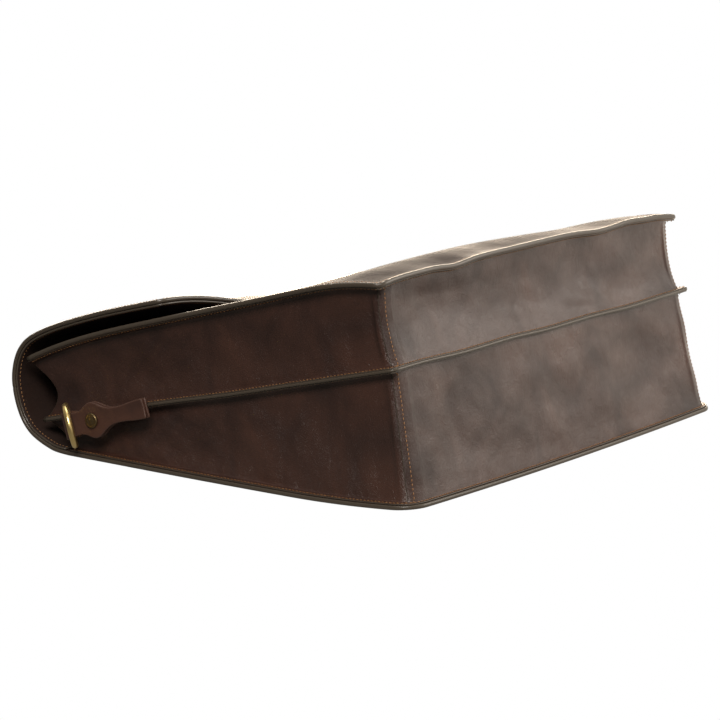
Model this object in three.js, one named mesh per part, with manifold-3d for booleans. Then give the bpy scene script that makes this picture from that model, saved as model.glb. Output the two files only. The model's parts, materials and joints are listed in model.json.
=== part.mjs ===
// Two-compartment leather briefcase with a flap, lying on its back panel.
// Millimetres. +X runs along the width, +Y from the base to the mouth, +Z out of the front panel.
// The origin is on the back panel's flat outer face, in the middle of the panel.
import * as THREE from 'three';
import { mergeVertices } from 'three/addons/utils/BufferGeometryUtils.js';
import Module from 'manifold-3d';

const wasm = await Module();
wasm.setup();

// ---- Driving dimensions ----
const HALF_WIDTH = 200; // front panel and divider
const BACK_HALF_BASE = 208; // back panel at the base
const BACK_HALF_MOUTH = 202; // back panel at the flap's fold
const BACK_BOW = 2.6; // its sides bow out by this much in the middle
const FLAP_HALF_HEM = 200; // flap at its lower edge
const HIDE = 3.5; // front and back panels
const FLAP_HIDE = 3.2;
const LINING = 1.5;
const DIVIDER = 2.2;
const GUSSET = 2;
const GAP = 0.3; // between pieces that touch
const CREASE = 1; // between pieces that fold against each other
const SEAM_INSET = { side: 10, base: 5 }; // from a panel's edges to the inside of the gusset's wall
const BASE_FRONT = { y: -133, z: 157 }; // front panel's lower edge
const MOUTH_FRONT = { y: 192, z: 70 };
const BASE_DIVIDER = { y: -145, z: 99 };
const MOUTH_DIVIDER = { y: 177, z: 23 };
const BASE_BACK_Y = -166;
const FOLD_Y = 152; // back panel becomes the flap's spine
const BACK_LIFT = 5; // base corners stand this far off the ground
const FRONT_BOW = 9.5; // front panel bulges along its height
const FRONT_DISH = 22; // its unsupported mouth edge sags by this much in the middle
const BASE_CROWN = 6.5; // its base edge rises by this much in the middle
const FRONT_BULGE = 6; // it swells by this much near the base, most on the left
const CORNER_LIFT = 2.2; // its left base corner stands up
const RIGHT_SLUMP = 7; // its right side lies lower
const SPINE_SAG = 9; // the flap's crease lies lower from the middle to the right
const GUSSET_SAG = 2.5; // gusset walls draw in by this much
const GUSSET_FLARE = 2.2; // how much more the front gusset's wall spreads near the divider; 1 is straight
const MOUTH_SCOOP = 17; // hollow in the gusset's mouth edge
const STRAP = 2;
const WIRE = 2.4; // radius of a D-ring's wire
const RING_HALF = 15; // half the D-ring's bar, on its centre line
const RING_DEPTH = 20;
const GRIP_PIVOT = { y: 218, z: 55 };
const GRIP_HALF = 62; // from the middle of the grip to each loop
const GRIP_DROP = 37;
const LOCK_Y = 80;

// ---- Materials ----
const leather = (color) => new THREE.MeshStandardMaterial({ color, roughness: 0.42, metalness: 0 });
const metal = (color) => new THREE.MeshStandardMaterial({ color, roughness: 0.3, metalness: 0.9 });
const DARK_HIDE = leather(0x3a2822);
const GUSSET_HIDE = leather(0x4a3732);
const LINING_HIDE = leather(0x2a1d18);
const STRAP_HIDE = leather(0x46302a);
const BRASS = metal(0xc9a04e);
const OLD_BRASS = metal(0x7d6a45);
const STEEL = metal(0x8c8c8c);

const bag = new THREE.Group();

// ---- Helpers ----
const clamp = (v) => Math.min(1, Math.max(0, v));
const smooth = (v) => clamp(v) ** 2 * (3 - 2 * clamp(v));
const lerp = (a, b, t) => a + (b - a) * t;
const steps = (n, from = 0, to = 1) => Array.from({ length: n + 1 }, (_, i) => lerp(from, to, i / n));
const mirrored = (points) => points.map((row) => row.map(([x, y, z]) => [-x, y, z]));

function meshFromTriangles(points, triangles) {
  let volume = 0;
  const [a, b, c] = [new THREE.Vector3(), new THREE.Vector3(), new THREE.Vector3()];
  for (const [i, j, k] of triangles) {
    a.set(...points[i]);
    b.set(...points[j]);
    c.set(...points[k]);
    volume += a.dot(b.cross(c));
  }
  const index = triangles.flatMap(([i, j, k]) => (volume > 0 ? [i, j, k] : [i, k, j]));
  const geometry = new THREE.BufferGeometry();
  geometry.setAttribute('position', new THREE.Float32BufferAttribute(points.flat(), 3));
  geometry.setIndex(index);
  return geometry;
}

// A closed solid between two grids of points that have the same rows and columns.
function slab(top, bottom) {
  const rows = top.length;
  const cols = top[0].length;
  const points = [...top.flat(), ...bottom.flat()];
  const under = rows * cols;
  const at = (r, c) => r * cols + c;
  const triangles = [];
  const quad = (p, q, r, s) => triangles.push([p, q, r], [p, r, s]);
  for (let r = 0; r < rows - 1; r += 1) {
    for (let c = 0; c < cols - 1; c += 1) {
      quad(at(r, c), at(r, c + 1), at(r + 1, c + 1), at(r + 1, c));
      quad(under + at(r, c), under + at(r + 1, c), under + at(r + 1, c + 1), under + at(r, c + 1));
    }
  }
  for (let r = 0; r < rows - 1; r += 1) {
    quad(at(r, 0), at(r + 1, 0), under + at(r + 1, 0), under + at(r, 0));
    quad(at(r + 1, cols - 1), at(r, cols - 1), under + at(r, cols - 1), under + at(r + 1, cols - 1));
  }
  for (let c = 0; c < cols - 1; c += 1) {
    quad(at(0, c + 1), at(0, c), under + at(0, c), under + at(0, c + 1));
    quad(at(rows - 1, c), at(rows - 1, c + 1), under + at(rows - 1, c + 1), under + at(rows - 1, c));
  }
  return meshFromTriangles(points, triangles);
}

// A solid through rings of points. A closed loft joins its last ring to its first.
function loft(rings, closed = false) {
  const n = rings[0].length;
  const points = rings.flat();
  const triangles = [];
  const last = closed ? rings.length : rings.length - 1;
  for (let r = 0; r < last; r += 1) {
    const next = ((r + 1) % rings.length) * n;
    for (let k = 0; k < n; k += 1) {
      const m = (k + 1) % n;
      triangles.push([r * n + k, r * n + m, next + m], [r * n + k, next + m, next + k]);
    }
  }
  if (!closed) {
    const end = (rings.length - 1) * n;
    for (let k = 1; k < n - 1; k += 1) {
      triangles.push([0, k + 1, k], [end, end + k, end + k + 1]);
    }
  }
  return meshFromTriangles(points, triangles);
}

function toSolid(geometry) {
  const bare = geometry.index ? geometry.clone() : geometry;
  bare.deleteAttribute('normal');
  bare.deleteAttribute('uv');
  const merged = mergeVertices(bare, 1e-4);
  return new wasm.Manifold(
    new wasm.Mesh({
      numProp: 3,
      vertProperties: new Float32Array(merged.attributes.position.array),
      triVerts: new Uint32Array(merged.index.array),
    }),
  );
}

function toGeometry(solid) {
  const mesh = solid.getMesh();
  const geometry = new THREE.BufferGeometry();
  geometry.setAttribute('position', new THREE.Float32BufferAttribute(mesh.vertProperties, 3));
  geometry.setIndex(Array.from(mesh.triVerts));
  return geometry;
}

function cut(geometry, ...tools) {
  return toGeometry(tools.reduce((solid, tool) => solid.subtract(toSolid(tool)), toSolid(geometry)));
}

function join(geometry, ...others) {
  return toGeometry(others.reduce((solid, other) => solid.add(toSolid(other)), toSolid(geometry)));
}

function add(name, geometry, material) {
  const mesh = new THREE.Mesh(geometry, material);
  mesh.name = name;
  bag.add(mesh);
}

function addPair(name, geometry, material) {
  add(`${name}_left`, geometry, material);
  const other = toGeometry(toSolid(geometry).mirror([1, 0, 0]));
  add(`${name}_right`, other, material);
}

// A round bar from its middle, along a direction.
function bar(radius, length, middle, direction, sides = 14) {
  const geometry = new THREE.CylinderGeometry(radius, radius, length, sides);
  const turn = new THREE.Quaternion().setFromUnitVectors(new THREE.Vector3(0, 1, 0), direction);
  geometry.applyQuaternion(turn);
  return geometry.translate(middle.x, middle.y, middle.z);
}

// ---- Panel surfaces ----
function frontZ(x, y) {
  const t = clamp((y - BASE_FRONT.y) / (MOUTH_FRONT.y - BASE_FRONT.y));
  const side = clamp(Math.abs(x) / HALF_WIDTH);
  const bow = FRONT_BOW * (1 - Math.abs(2 * t - 1) ** 4);
  const dish = FRONT_DISH * smooth((t - 0.05) / 0.9) * (1 - side ** 2);
  const crown = BASE_CROWN * (1 - side ** 6) * (1 - smooth(t / 0.25));
  const leftward = 1 - 0.7 * smooth((x + 60) / 160);
  const bulge = FRONT_BULGE * leftward * (1 - side ** 4) * smooth(t / 0.12) * (1 - smooth((t - 0.12) / 0.3));
  const lift = CORNER_LIFT * smooth((-x - 140) / 60) * (1 - smooth((t - 0.1) / 0.25));
  const slump = RIGHT_SLUMP * smooth((x - 25) / 140) * smooth((t - 0.05) / 0.35);
  return lerp(BASE_FRONT.z, MOUTH_FRONT.z, t) + bow - dish + crown + bulge + lift - slump;
}

function dividerZ(x, y) {
  const t = (y - BASE_DIVIDER.y) / (MOUTH_DIVIDER.y - BASE_DIVIDER.y);
  return lerp(BASE_DIVIDER.z, MOUTH_DIVIDER.z, t);
}

function backZ(x, y) {
  const rise = clamp((-60 - y) / 106);
  return BACK_LIFT * rise ** 2 * (0.5 + 0.5 * (x / BACK_HALF_BASE) ** 2);
}

const straightSide = () => HALF_WIDTH;
const backHalf = (y) => {
  const t = clamp((y - BASE_BACK_Y) / (FOLD_Y - BASE_BACK_Y));
  return lerp(BACK_HALF_BASE, BACK_HALF_MOUTH, t) + BACK_BOW * Math.sin(Math.PI * t);
};

// half is half the width at a height, mouth the height where the gusset's seam ends.
const FRONT = { half: straightSide, base: BASE_FRONT.y, mouth: MOUTH_FRONT.y, corner: 7, web: 10 };
const MIDDLE = { half: straightSide, base: BASE_DIVIDER.y, mouth: MOUTH_DIVIDER.y, corner: 6, web: 10 };
const BACK = { half: backHalf, base: BASE_BACK_Y, mouth: FOLD_Y - 2, corner: 18, web: 14 };

// Rows of a panel from base to mouth, with round base corners.
function panelGrid(panel, mouth, zAt, columns = 14, rows = 11) {
  const arc = steps(4, 0, Math.PI / 2).map((a) => ({
    y: panel.base + panel.corner * (1 - Math.cos(a)),
    trim: panel.corner * (1 - Math.sin(a)),
  }));
  const straight = steps(rows, panel.base + panel.corner, mouth).slice(1).map((y) => ({ y, trim: 0 }));
  return [...arc, ...straight].map(({ y, trim }) => {
    const half = panel.half(y) - trim;
    return steps(columns, -half, half).map((x) => [x, y, zAt(x, y)]);
  });
}

const shifted = (grid, dz) => grid.map((row) => row.map(([x, y, z]) => [x, y, z + dz]));

// ---- Gussets ----
const NO_INSET = { side: 0, base: 0 };
// Points along a panel's edge or along the gusset's wall. Each has its outward normal.
function edgePoint(panel, inset, radius, place) {
  const { zone, t } = place;
  if (zone === 'side') {
    const y = lerp(panel.mouth, panel.base + inset.base + radius, t);
    return { x: -(panel.half(y) - inset.side), y, nx: -1, ny: 0 };
  }
  const cy = panel.base + inset.base + radius;
  const cx = -(panel.half(cy) - inset.side - radius);
  if (zone === 'corner') {
    const [nx, ny] = [-Math.cos(t), -Math.sin(t)];
    return { x: cx + radius * nx, y: cy + radius * ny, nx, ny };
  }
  return { x: lerp(cx, -cx, t), y: cy - radius, nx: 0, ny: -1 };
}

const MITRE = Math.PI / 4;
const MITRE_GAP = 0.025; // radians, opens the corner seam by about GAP
const sidePlaces = [
  ...steps(10).map((t) => ({ zone: 'side', t })),
  ...steps(2, MITRE / 2, MITRE - MITRE_GAP).map((t) => ({ zone: 'corner', t })),
];
const cornerPlaces = steps(1, MITRE + MITRE_GAP, (MITRE + Math.PI / 2) / 2)
  .map((t) => ({ zone: 'corner', t }));
const basePlaces = steps(14).map((t) => ({ zone: 'base', t }));

// One piece of a gusset: a channel with a flange on each panel and a wall between them.
// lower and upper are panels, zLower and zUpper the faces that the flanges lie on.
function channelRows(lower, upper, zLower, zUpper, places, flare, scoop = 0) {
  const inner = [];
  const outer = [];
  places.forEach((place) => {
    const low = edgePoint(lower, NO_INSET, lower.corner, place);
    const high = edgePoint(upper, NO_INSET, upper.corner, place);
    const lowWall = edgePoint(lower, SEAM_INSET, lower.web, place);
    const highWall = edgePoint(upper, SEAM_INSET, upper.web, place);
    const { nx, ny } = lowWall;
    const zl = (p) => zLower(p.x, p.y) + GAP;
    const zu = (p) => zUpper(p.x, p.y) - GAP;
    const near = place.zone === 'side' ? (1 - place.t) ** 6 : 0;
    const flat = place.zone === 'corner' ? 0 : 1;
    const walls = [0.25, 0.5, 0.75].map((w) => {
      const pull = Math.sin(Math.PI * w);
      const inward = GUSSET_SAG * pull * flat;
      const zLow = zl(lowWall);
      const up = 1 - (1 - w) ** flare;
      return [
        lerp(lowWall.x, highWall.x, up) - nx * inward,
        lerp(lowWall.y, highWall.y, up) - ny * inward - scoop * pull * near,
        lerp(zLow, zu(highWall), w),
      ];
    });
    inner.push([
      [low.x, low.y, zl(low)],
      [lowWall.x, lowWall.y, zl(lowWall)],
      ...walls,
      [highWall.x, highWall.y, zu(highWall)],
      [high.x, high.y, zu(high)],
    ]);
    const wallOut = (p, z) => [p.x + nx * GUSSET, p.y + ny * GUSSET, z];
    outer.push([
      [low.x, low.y, zl(low) + GUSSET],
      wallOut(lowWall, zl(lowWall) + GUSSET),
      ...walls.map(([x, y, z]) => [x + nx * GUSSET, y + ny * GUSSET, z]),
      wallOut(highWall, zu(highWall) - GUSSET),
      [high.x, high.y, zu(high) - GUSSET],
    ]);
  });
  return { inner, outer };
}

// The right side is made as a left side of the mirrored panels, then mirrored.
function addGusset(name, lower, upper, zLower, zUpper, flare, scoop) {
  const flip = (z) => (x, y) => z(-x, y);
  const rowsOn = (mirror, places, hollow) => (mirror
    ? channelRows(lower, upper, flip(zLower), flip(zUpper), places, flare, hollow)
    : channelRows(lower, upper, zLower, zUpper, places, flare, hollow));
  const left = rowsOn(false, sidePlaces, scoop);
  const right = rowsOn(true, sidePlaces, scoop);
  add(`${name}_left`, slab(left.outer, left.inner), GUSSET_HIDE);
  add(`${name}_right`, toGeometry(toSolid(slab(right.outer, right.inner)).mirror([1, 0, 0])), GUSSET_HIDE);
  const first = rowsOn(false, cornerPlaces);
  const middle = rowsOn(false, basePlaces);
  const last = rowsOn(true, cornerPlaces);
  const rows = (key) => [...first[key], ...middle[key], ...mirrored(last[key]).reverse()];
  add(`${name}_bottom`, slab(rows('outer'), rows('inner')), GUSSET_HIDE);
}

// ---- Flap: the back hide runs on round the mouth and down over the front ----
// The outer line in the plane of a side edge.
const FLAP_LINE = new THREE.SplineCurve(
  [[152, 0], [169, 2.3], [190, 12.5], [202, 30], [206.5, 55], [198, 78], [175, 93.2], [125, 110.7], [63, 127.4]]
    .map(([y, z]) => new THREE.Vector2(y, z)),
);
const SPINE_END = 5 / 8; // curve parameter of the crease between spine and flap front
const REST_CLEAR = 0.8; // between the closed flap and the front panel
const FLAP_STACK = FLAP_HIDE + 2 * GAP + LINING;

// A point on the flap, at a depth below its outer face.
function flapPoint(u, x, depth) {
  const p = FLAP_LINE.getPoint(u);
  const tangent = FLAP_LINE.getTangent(u);
  const side = x / HALF_WIDTH;
  const hem = 10 * (1 - side ** 2) * smooth((u - 0.8) / 0.2); // the lower edge is longest in the middle
  const y = p.x - hem;
  let z = p.y - SPINE_SAG * smooth((x + 10) / 175) * smooth((u - 0.47) / 0.15);
  if (u > SPINE_END) {
    const rest = frontZ(x, y) + REST_CLEAR + FLAP_STACK / Math.cos(Math.atan(0.3));
    const settled = smooth((u - SPINE_END) / 0.22) * smooth((x + HALF_WIDTH) / 120);
    z = lerp(z, rest, settled);
  }
  return [x, y - tangent.y * depth, z + tangent.x * depth];
}

function flapGrid(from, to, depth, rows, columns = 12, inset = 0) {
  return steps(rows, from, to).map((u) => {
    const half = lerp(BACK_HALF_MOUTH, FLAP_HALF_HEM, u) - inset;
    return steps(columns, -half, half).map((x) => flapPoint(u, x, depth));
  });
}

const flapSlab = (from, to, depth, thickness, rows, inset = 0) =>
  slab(flapGrid(from, to, depth, rows, 12, inset), flapGrid(from, to, depth + thickness, rows, 12, inset));

// ---- Panels and gussets ----
const frontGrid = panelGrid(FRONT, MOUTH_FRONT.y, frontZ, 14, 14);
const dividerGrid = panelGrid(MIDDLE, MOUTH_DIVIDER.y, dividerZ, 2, 1);
const backGrid = panelGrid(BACK, FOLD_Y - CREASE, backZ);
add('back_panel', slab(shifted(backGrid, HIDE), backGrid), DARK_HIDE);
const dividerSides = [shifted(dividerGrid, DIVIDER / 2), shifted(dividerGrid, -DIVIDER / 2)];
add('divider_panel', slab(...dividerSides), GUSSET_HIDE);
const underDivider = (x, y) => dividerZ(x, y) - DIVIDER / 2;
addGusset('rear_gusset', BACK, MIDDLE, (x, y) => backZ(x, y) + HIDE, underDivider, 1, 0);
addGusset('front_gusset', MIDDLE, FRONT, (x, y) => dividerZ(x, y) + DIVIDER / 2, (x, y) => frontZ(x, y) - HIDE - 2 * GAP,
  GUSSET_FLARE, MOUTH_SCOOP);

// ---- Turn lock, in a frame on the front panel's surface: u along the width, v up the panel, n outwards ----
const LOCK_SLOPE = Math.atan2(frontZ(0, LOCK_Y + 10) - frontZ(0, LOCK_Y - 10), 20);
const PLATE = 1.5;
const BACKING = 1.2;
const HEAD = 0.9; // height of a rivet's flat head
const RIVET = { shaft: 1.5, hole: 1.9, head: 3 };
const PRONG = { radius: 1.3, hole: 1.7, at: 8 }; // from the middle of the lock
const WINDOW_RIVET_AT = 19;
const WINDOW = { long: 13.5, short: 6.5 }; // half sizes of the opening in the flap
const KNOB_UNDER = 8.3; // underside of the knob above the front panel

function onLock(geometry) {
  geometry.rotateX(LOCK_SLOPE);
  return geometry.translate(0, LOCK_Y, frontZ(0, LOCK_Y));
}

function oval(long, short, from, to, points = 24) {
  const shape = new THREE.Shape(
    steps(points).slice(0, -1).map((t) => {
      const a = 2 * Math.PI * t;
      return new THREE.Vector2(long * Math.cos(a), short * Math.sin(a));
    }),
  );
  const geometry = new THREE.ExtrudeGeometry(shape, { depth: to - from, bevelEnabled: false });
  return geometry.translate(0, 0, from);
}

function disc(radius, from, to, u = 0, sides = 14) {
  const geometry = new THREE.CylinderGeometry(radius, radius, to - from, sides);
  return geometry.rotateX(Math.PI / 2).translate(u, 0, (from + to) / 2);
}

const rivet = (u, from, to) =>
  join(disc(RIVET.shaft, from, to, u), disc(RIVET.head, to, to + HEAD, u), disc(RIVET.head, from - HEAD, from, u));
const prongHoles = () => [-1, 1].map((k) => onLock(disc(PRONG.hole, -20, 20, k * PRONG.at)));
const windowHoles = (r = RIVET.hole) => [-1, 1].map((k) => onLock(disc(r, -20, 20, k * WINDOW_RIVET_AT)));
const windowCut = (grow = 0) => onLock(oval(WINDOW.long + grow, WINDOW.short + grow, -2, 30));

add('front_panel', cut(slab(frontGrid, shifted(frontGrid, -HIDE)), ...prongHoles()), DARK_HIDE);
const backTop = -HIDE - 0.6;
const prong = (k) => disc(PRONG.radius, backTop - BACKING - 1, 1, k * PRONG.at);
add('lock_base', cut(
  onLock(join(oval(12.3, 5.4, 0.4, 3), prong(-1), prong(1))),
  onLock(disc(2.8, 1.2, 20)),
), BRASS);
add('lock_backing_plate', cut(onLock(oval(14, 7, backTop - BACKING, backTop)), ...prongHoles()), STEEL);
const knobTop = KNOB_UNDER + 3.2;
add('lock_knob', onLock(join(
  disc(2.4, 1.6, knobTop - 1, 0, 16),
  oval(10, 4.2, KNOB_UNDER, knobTop),
)), BRASS);

// ---- Grip and its loops on the flap's spine ----
const LOOP = { wire: 2.1, hole: 2.8, halfBar: 9, plateY: 207.2, plate: 1.8, halfPlate: 12, eyelet: 5.6 };
const STIFFENER = 1.5;
const GRIP_RADIUS = 8.5;
const Y_AXIS = new THREE.Vector3(0, 1, 0);
const X_AXIS = new THREE.Vector3(1, 0, 0);
const at = (x, y, z) => new THREE.Vector3(x, y, z);
const rivetSpots = [-1, 1].flatMap((k) =>
  [-9.5, 9.5].map((dz) => ({ x: k * GRIP_HALF, z: GRIP_PIVOT.z + dz })));
const gripHoles = (r = RIVET.hole) => rivetSpots.map(({ x, z }) => bar(r, 60, at(x, 205, z), Y_AXIS));

// A round wire along a path, made of rings square to it. side is the direction that no ring leans along.
function wire(points, radius, side, closed = false, sides = 10) {
  const n = points.length;
  const rings = points.map((point, i) => {
    const before = points[closed ? (i + n - 1) % n : Math.max(0, i - 1)];
    const after = points[closed ? (i + 1) % n : Math.min(n - 1, i + 1)];
    const along = after.clone().sub(before).normalize();
    const across = side.clone().cross(along).normalize();
    const r = typeof radius === 'function' ? radius(i / (n - 1)) : { a: radius, b: radius };
    return steps(sides).slice(0, -1).map((t) => {
      const angle = 2 * Math.PI * t;
      const p = point.clone()
        .addScaledVector(across, r.a * Math.cos(angle))
        .addScaledVector(side, r.b * Math.sin(angle));
      return [p.x, p.y, p.z];
    });
  });
  return loft(rings, closed);
}

function gripLoop(k) {
  const x = k * GRIP_HALF;
  const { plateY, plate, halfPlate, halfBar, wire: r } = LOOP;
  const base = new THREE.BoxGeometry(2 * halfBar + 4, plate, 2 * halfPlate + 4)
    .translate(x, plateY + plate / 2, GRIP_PIVOT.z);
  const leg = plateY + plate / 2;
  const bend = 3;
  const top = GRIP_PIVOT.y;
  const half = [at(-halfBar, leg, 0), at(-halfBar, top - bend, 0)];
  const arc = [30, 60, 90].map((d) => {
    const a = (d * Math.PI) / 180;
    return at(-halfBar + bend * (1 - Math.cos(a)), top - bend + bend * Math.sin(a), 0);
  });
  const left = [...half, ...arc];
  const path = [...left, ...left.map((p) => at(-p.x, p.y, 0)).reverse()];
  const staple = wire(path.map((p) => p.add(at(x, 0, GRIP_PIVOT.z))), r, at(0, 0, 1));
  const holes = rivetSpots
    .filter((spot) => spot.x === x)
    .map((spot) => bar(RIVET.hole, 60, at(x, 205, spot.z), Y_AXIS));
  return cut(join(base, staple), ...holes);
}

// The grip hangs from its loops in the plane y = GRIP_PIVOT.y: an arch with an eyelet round each bar.
function grip() {
  const arch = steps(24).map((t) => {
    const a = Math.PI * t;
    const flat = 2.6; // how square the arch is
    const reach = (v) => Math.sign(v) * Math.abs(v) ** (2 / flat);
    return at(-GRIP_HALF * reach(Math.cos(a)), GRIP_PIVOT.y, GRIP_PIVOT.z - 3 - GRIP_DROP * reach(Math.sin(a)));
  });
  const thick = (t) => {
    const body = smooth(Math.min(t, 1 - t) / 0.22);
    return { a: lerp(6, GRIP_RADIUS, body), b: lerp(2.6, GRIP_RADIUS, body) };
  };
  const pivots = [-1, 1].map((k) => at(k * GRIP_HALF, GRIP_PIVOT.y, GRIP_PIVOT.z));
  const eyelets = pivots.map((pivot) => bar(LOOP.eyelet, 10, pivot, X_AXIS, 18));
  const bores = pivots.map((pivot) => bar(LOOP.hole, 40, pivot, X_AXIS, 18));
  return cut(join(wire(arch, thick, Y_AXIS, false, 12), ...eyelets), ...bores);
}

add('handle_grip', grip(), STRAP_HIDE);
[-1, 1].forEach((k) => add(`handle_loop_${k < 0 ? 'left' : 'right'}`, gripLoop(k), BRASS));

// ---- Flap ----
const SEAM_STEP = 0.0015; // opens the two creases by about GAP
const flapTop = REST_CLEAR + FLAP_STACK + 0.25; // outer face of the closed flap above the front panel
const liningDepth = FLAP_HIDE + 2 * GAP;
add('flap_spine', cut(flapSlab(0, SPINE_END - SEAM_STEP, 0, FLAP_HIDE, 12), ...gripHoles()), DARK_HIDE);
add('flap_spine_lining', cut(
  flapSlab(0.02, SPINE_END - SEAM_STEP, liningDepth, LINING, 12, 6), ...gripHoles(),
), LINING_HIDE);
add('flap_front', cut(
  flapSlab(SPINE_END + SEAM_STEP, 1, 0, FLAP_HIDE, 13), windowCut(), ...windowHoles(),
), DARK_HIDE);
add('flap_front_lining', cut(
  flapSlab(SPINE_END + SEAM_STEP, 0.985, liningDepth, LINING, 13, 6), windowCut(), ...windowHoles(RIVET.head + 0.4),
), LINING_HIDE);
add('window_plate', cut(
  onLock(oval(23, 12, flapTop + GAP, flapTop + GAP + PLATE)), windowCut(-0.5), ...windowHoles(),
), BRASS);
[-1, 1].forEach((k) => add(
  `window_rivet_${k < 0 ? 'left' : 'right'}`,
  onLock(rivet(k * WINDOW_RIVET_AT, REST_CLEAR + 1.2, flapTop + PLATE + 2 * GAP)),
  OLD_BRASS,
));

// The stiffener follows the spine inside the lining, and the grip's rivets are clenched on it.
const stiffDepth = FLAP_STACK + GAP + 0.1;
const stiffener = (depth) =>
  steps(8, 0.385, 0.575).map((u) => steps(2, -88, 88).map((x) => flapPoint(u, x, depth)));
const plate = slab(stiffener(stiffDepth), stiffener(stiffDepth + STIFFENER));
add('spine_stiffener', cut(plate, ...gripHoles()), STEEL);
const inside = LOOP.plateY - FLAP_STACK - STIFFENER - 4.1;
rivetSpots.forEach(({ x, z }) => {
  const outside = LOOP.plateY + LOOP.plate + GAP;
  const shaft = bar(RIVET.shaft, outside - inside, at(x, (outside + inside) / 2, z), Y_AXIS);
  const head = (y) => bar(RIVET.head, HEAD, at(x, y, z), Y_AXIS);
  const name = `handle_rivet_${x < 0 ? 'left' : 'right'}_${z < GRIP_PIVOT.z ? 'lower' : 'upper'}`;
  add(name, join(shaft, head(outside + HEAD / 2), head(inside - HEAD / 2)), OLD_BRASS);
});

// ---- Ring tabs on the seam of the divider, with their D-rings ----
const TAB_FOLD = { x: -205.6, y: 144.8, z: 24.5 }; // middle of the D-ring's bar
const TAB_LENGTH = 75.5;
const TAB_SLOPE = Math.atan2(22.4, -72.2); // direction from the fold to the sewn end, in the side's plane
const TAB_RIVET_AT = 24.5; // from the bar
const along = at(0, Math.cos(TAB_SLOPE), Math.sin(TAB_SLOPE));
const upright = at(0, Math.sin(TAB_SLOPE), -Math.cos(TAB_SLOPE));
const tabWidth = (s) => {
  const lobe = 7.6 * Math.exp(-(((s - TAB_RIVET_AT - 1) / 11) ** 2));
  const end = 1.6 * smooth((s - 50) / 22);
  const fold = 4.2 * (1 - smooth(s / 18));
  return Math.min(5.7 + lobe + end + fold, 13.3);
};

// The strap's centre line in its side's plane: out along one leg, round the bar and back.
function tabPath() {
  const fold = WIRE + 0.6 + STRAP / 2;
  const leg = (k) => [1, 0.86, 0.72, 0.58, 0.44, 0.36, 0.28, 0.18].map((t) => {
    const s = TAB_LENGTH * t;
    return { s, out: k * lerp(fold, 1.9, smooth((s - 3) / 18)) };
  });
  const bend = steps(8, -Math.PI / 2, Math.PI / 2)
    .map((a) => ({ s: -fold * Math.cos(a), out: -fold * Math.sin(a) }));
  return [...leg(1), ...bend, ...leg(-1).reverse()];
}

function tabStrap() {
  const path = tabPath();
  const face = (offset) => path.map((p, i) => {
    const before = path[Math.max(0, i - 1)];
    const after = path[Math.min(path.length - 1, i + 1)];
    const length = Math.hypot(after.s - before.s, after.out - before.out);
    const [ds, dout] = [(after.s - before.s) / length, (after.out - before.out) / length];
    const s = p.s + dout * offset;
    const out = p.out - ds * offset;
    return [-1, -0.5, 0, 0.5, 1].map((k) => {
      const q = at(TAB_FOLD.x - out, TAB_FOLD.y, TAB_FOLD.z)
        .addScaledVector(along, s)
        .addScaledVector(upright, k * tabWidth(Math.max(0, p.s)));
      return [q.x, q.y, q.z];
    });
  });
  const middle = at(TAB_FOLD.x, TAB_FOLD.y, TAB_FOLD.z).addScaledVector(along, TAB_RIVET_AT);
  return cut(slab(face(STRAP / 2), face(-STRAP / 2)), bar(2.3, 30, middle, X_AXIS));
}

function tabRivet() {
  const middle = at(TAB_FOLD.x, TAB_FOLD.y, TAB_FOLD.z).addScaledVector(along, TAB_RIVET_AT);
  const face = 1.9 + STRAP / 2 + 0.3;
  const profile = [[0, 0], [5.6, 0], [5.6, 0.9], [4.6, 2], [3.2, 1.9], [1.6, 2.4], [0, 2.5]];
  const cap = new THREE.LatheGeometry(profile.map(([r, h]) => new THREE.Vector2(r, h)), 18);
  cap.rotateZ(Math.PI / 2).translate(middle.x - face, middle.y, middle.z);
  const back = bar(4.4, 0.8, middle.clone().add(at(face + 0.4, 0, 0)), X_AXIS);
  return join(bar(1.9, 2 * face + 0.6, middle, X_AXIS), cap, back);
}

// The D-ring stands out from its bar at this angle from the strap's run, towards the base and outwards.
const RING_OUT = at(-0.755, -0.616, 0.2).projectOnPlane(upright).normalize();
function dRing() {
  const centre = at(TAB_FOLD.x, TAB_FOLD.y, TAB_FOLD.z);
  const place = (w, d) => centre.clone().addScaledVector(upright, w).addScaledVector(RING_OUT, d);
  const straight = steps(4, -RING_HALF + 2.5, RING_HALF - 2.5).map((w) => place(w, 0));
  const round = steps(18, -0.32, Math.PI + 0.32).map((a) => {
    const bulge = RING_HALF * Math.cos(a);
    return place(bulge, 5 + (RING_DEPTH - 5) * Math.max(Math.sin(a), -1 / 3));
  });
  return wire([...straight, ...round], WIRE, upright.clone().cross(RING_OUT).normalize(), true, 10);
}

addPair('ring_tab', tabStrap(), STRAP_HIDE);
addPair('tab_rivet', tabRivet(), OLD_BRASS);
addPair('d_ring', dRing(), BRASS);

export default bag;
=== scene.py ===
"""Looks of a two-compartment leather briefcase that lies on its back panel.

Lengths are millimetres until a mesh is made. +X runs along the width, +Y from the base to the mouth,
and +Z out of the front panel. The origin is on the back panel's outer face.
"""
import json
import math

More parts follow.
